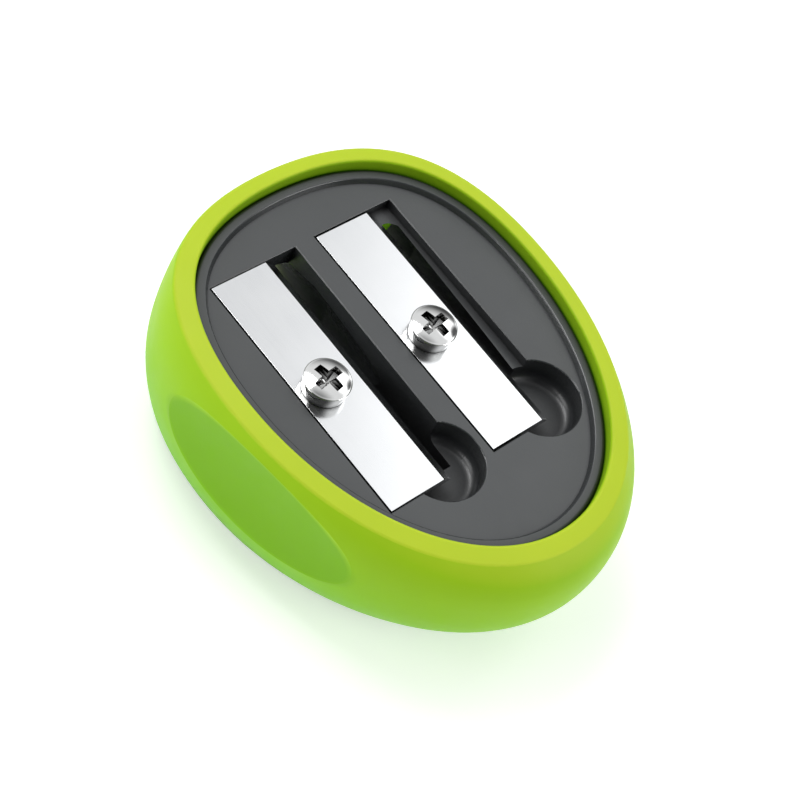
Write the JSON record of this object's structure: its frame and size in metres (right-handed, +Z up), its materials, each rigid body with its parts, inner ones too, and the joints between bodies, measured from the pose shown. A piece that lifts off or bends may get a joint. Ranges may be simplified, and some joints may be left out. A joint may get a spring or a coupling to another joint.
{
  "type": "double-hole pencil sharpener",
  "caption": "Egg-shaped hand sharpener: a soft-sided casing with finger dimples holds a cutter body with flat screwed blades over conical pencil bores.",
  "frame": {"origin": "middle of the bounding box, on the flat base", "axes": "+Z up out of the cutter plate, +Y towards the wide end where the pencils go in, X across the blades"},
  "size_m": [0.0366, 0.0442, 0.0162],
  "materials": {
    "casing_plastic": "satin soft-touch lime green",
    "body_plastic": "satin dark grey moulded plastic",
    "blade_steel": "finely ground bright steel",
    "screw_metal": "bright nickel plated"
  },
  "bodies": {
    "root": {"casing": "casing_plastic", "cutter_body": "body_plastic", "blade_thick": "blade_steel", "blade_standard": "blade_steel", "screw_thick": "screw_metal", "screw_standard": "screw_metal"}
  },
  "joints": []
}
